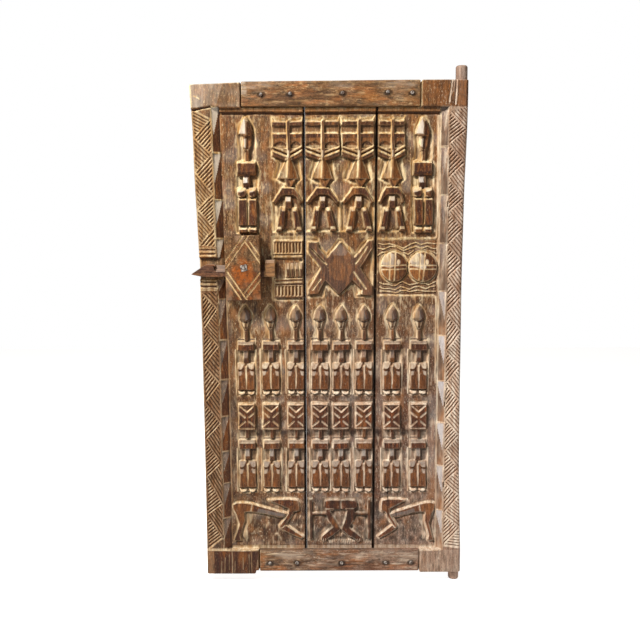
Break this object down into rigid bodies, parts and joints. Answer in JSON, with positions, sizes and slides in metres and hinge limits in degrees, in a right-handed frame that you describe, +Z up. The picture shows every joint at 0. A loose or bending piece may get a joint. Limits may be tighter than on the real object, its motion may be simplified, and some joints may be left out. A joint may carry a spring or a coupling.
{
  "type": "carved granary door",
  "caption": "Carved plank door leaf with turned-wood pivot pegs on one side, nailed rails and a wooden pin-tumbler lock with a sliding bolt.",
  "frame": {"origin": "On the axis of the two pivot pegs, at the shoulder of the lower peg, which is the level of the hinge plank's foot.", "axes": "+Z up along the pivot axis, the leaf runs from the axis along -X, the carved front faces -Y and the flat back faces +Y."},
  "size_m": [0.806, 0.0865, 1.544],
  "materials": {
    "door_wood": "old hand-carved hardwood with a worn dark patina",
    "rail_wood": "old adzed hardwood, rubbed reddish brown",
    "lock_wood": "dark oiled hardwood, polished by handling",
    "bolt_wood": "hardwood polished by sliding",
    "forged_iron": "hand-forged iron, rusted dark"
  },
  "bodies": {
    "leaf": {"lock_plank": "door_wood", "centre_plank": "door_wood", "hinge_plank": "door_wood", "top_rail": "rail_wood", "bottom_rail": "rail_wood", "top_rail_nails": "forged_iron", "bottom_rail_nails": "forged_iron", "joint_pins": "forged_iron", "lock_case": "lock_wood", "lock_washer": "forged_iron", "lock_nail": "forged_iron"},
    "bolt": {"lock_bolt": "bolt_wood"},
    "first_tumbler": {"tumbler_1": "forged_iron"},
    "second_tumbler": {"tumbler_2": "forged_iron"},
    "third_tumbler": {"tumbler_3": "forged_iron"}
  },
  "joints": [
    {"name": "lock_bolt_slide", "type": "slide", "parent": "leaf", "child": "bolt", "axis": [1, 0, 0], "range_m": [-0.005, 0.05]},
    {"name": "first_tumbler_lift", "type": "slide", "parent": "leaf", "child": "first_tumbler", "axis": [0, 0, 1], "range_m": [0, 0.012]},
    {"name": "second_tumbler_lift", "type": "slide", "parent": "leaf", "child": "second_tumbler", "axis": [0, 0, 1], "range_m": [0, 0.012]},
    {"name": "third_tumbler_lift", "type": "slide", "parent": "leaf", "child": "third_tumbler", "axis": [0, 0, 1], "range_m": [0, 0.012]}
  ]
}
